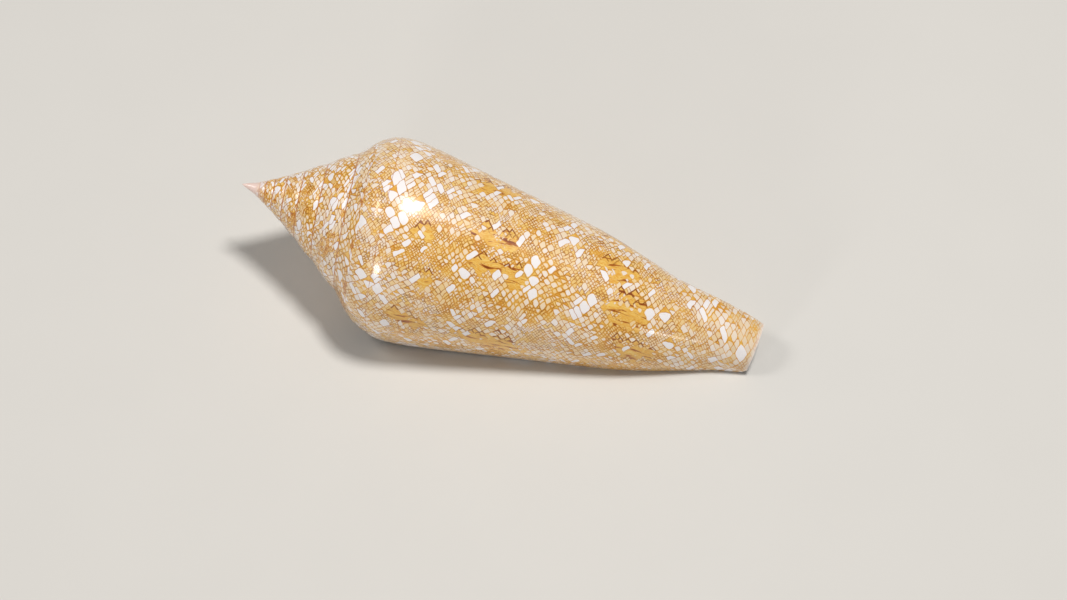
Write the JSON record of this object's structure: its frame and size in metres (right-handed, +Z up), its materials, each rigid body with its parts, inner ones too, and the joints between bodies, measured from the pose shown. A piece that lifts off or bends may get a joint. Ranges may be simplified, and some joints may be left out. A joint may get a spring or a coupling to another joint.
{
  "type": "cone shell",
  "caption": "Cone seashell with a tall pointed spire and a golden brown net pattern of small white tents, lying on its mouth.",
  "frame": {"origin": "middle of the shell's box, on the surface that it rests on", "axes": "+X from the apex towards the open front end, +Z up, -Y towards the lip"},
  "size_m": [0.119, 0.0432, 0.0386],
  "materials": {
    "shell_porcelain": "polished shell, cream and white with a golden brown net of fine lines"
  },
  "bodies": {
    "root": {"shell": "shell_porcelain"}
  },
  "joints": []
}
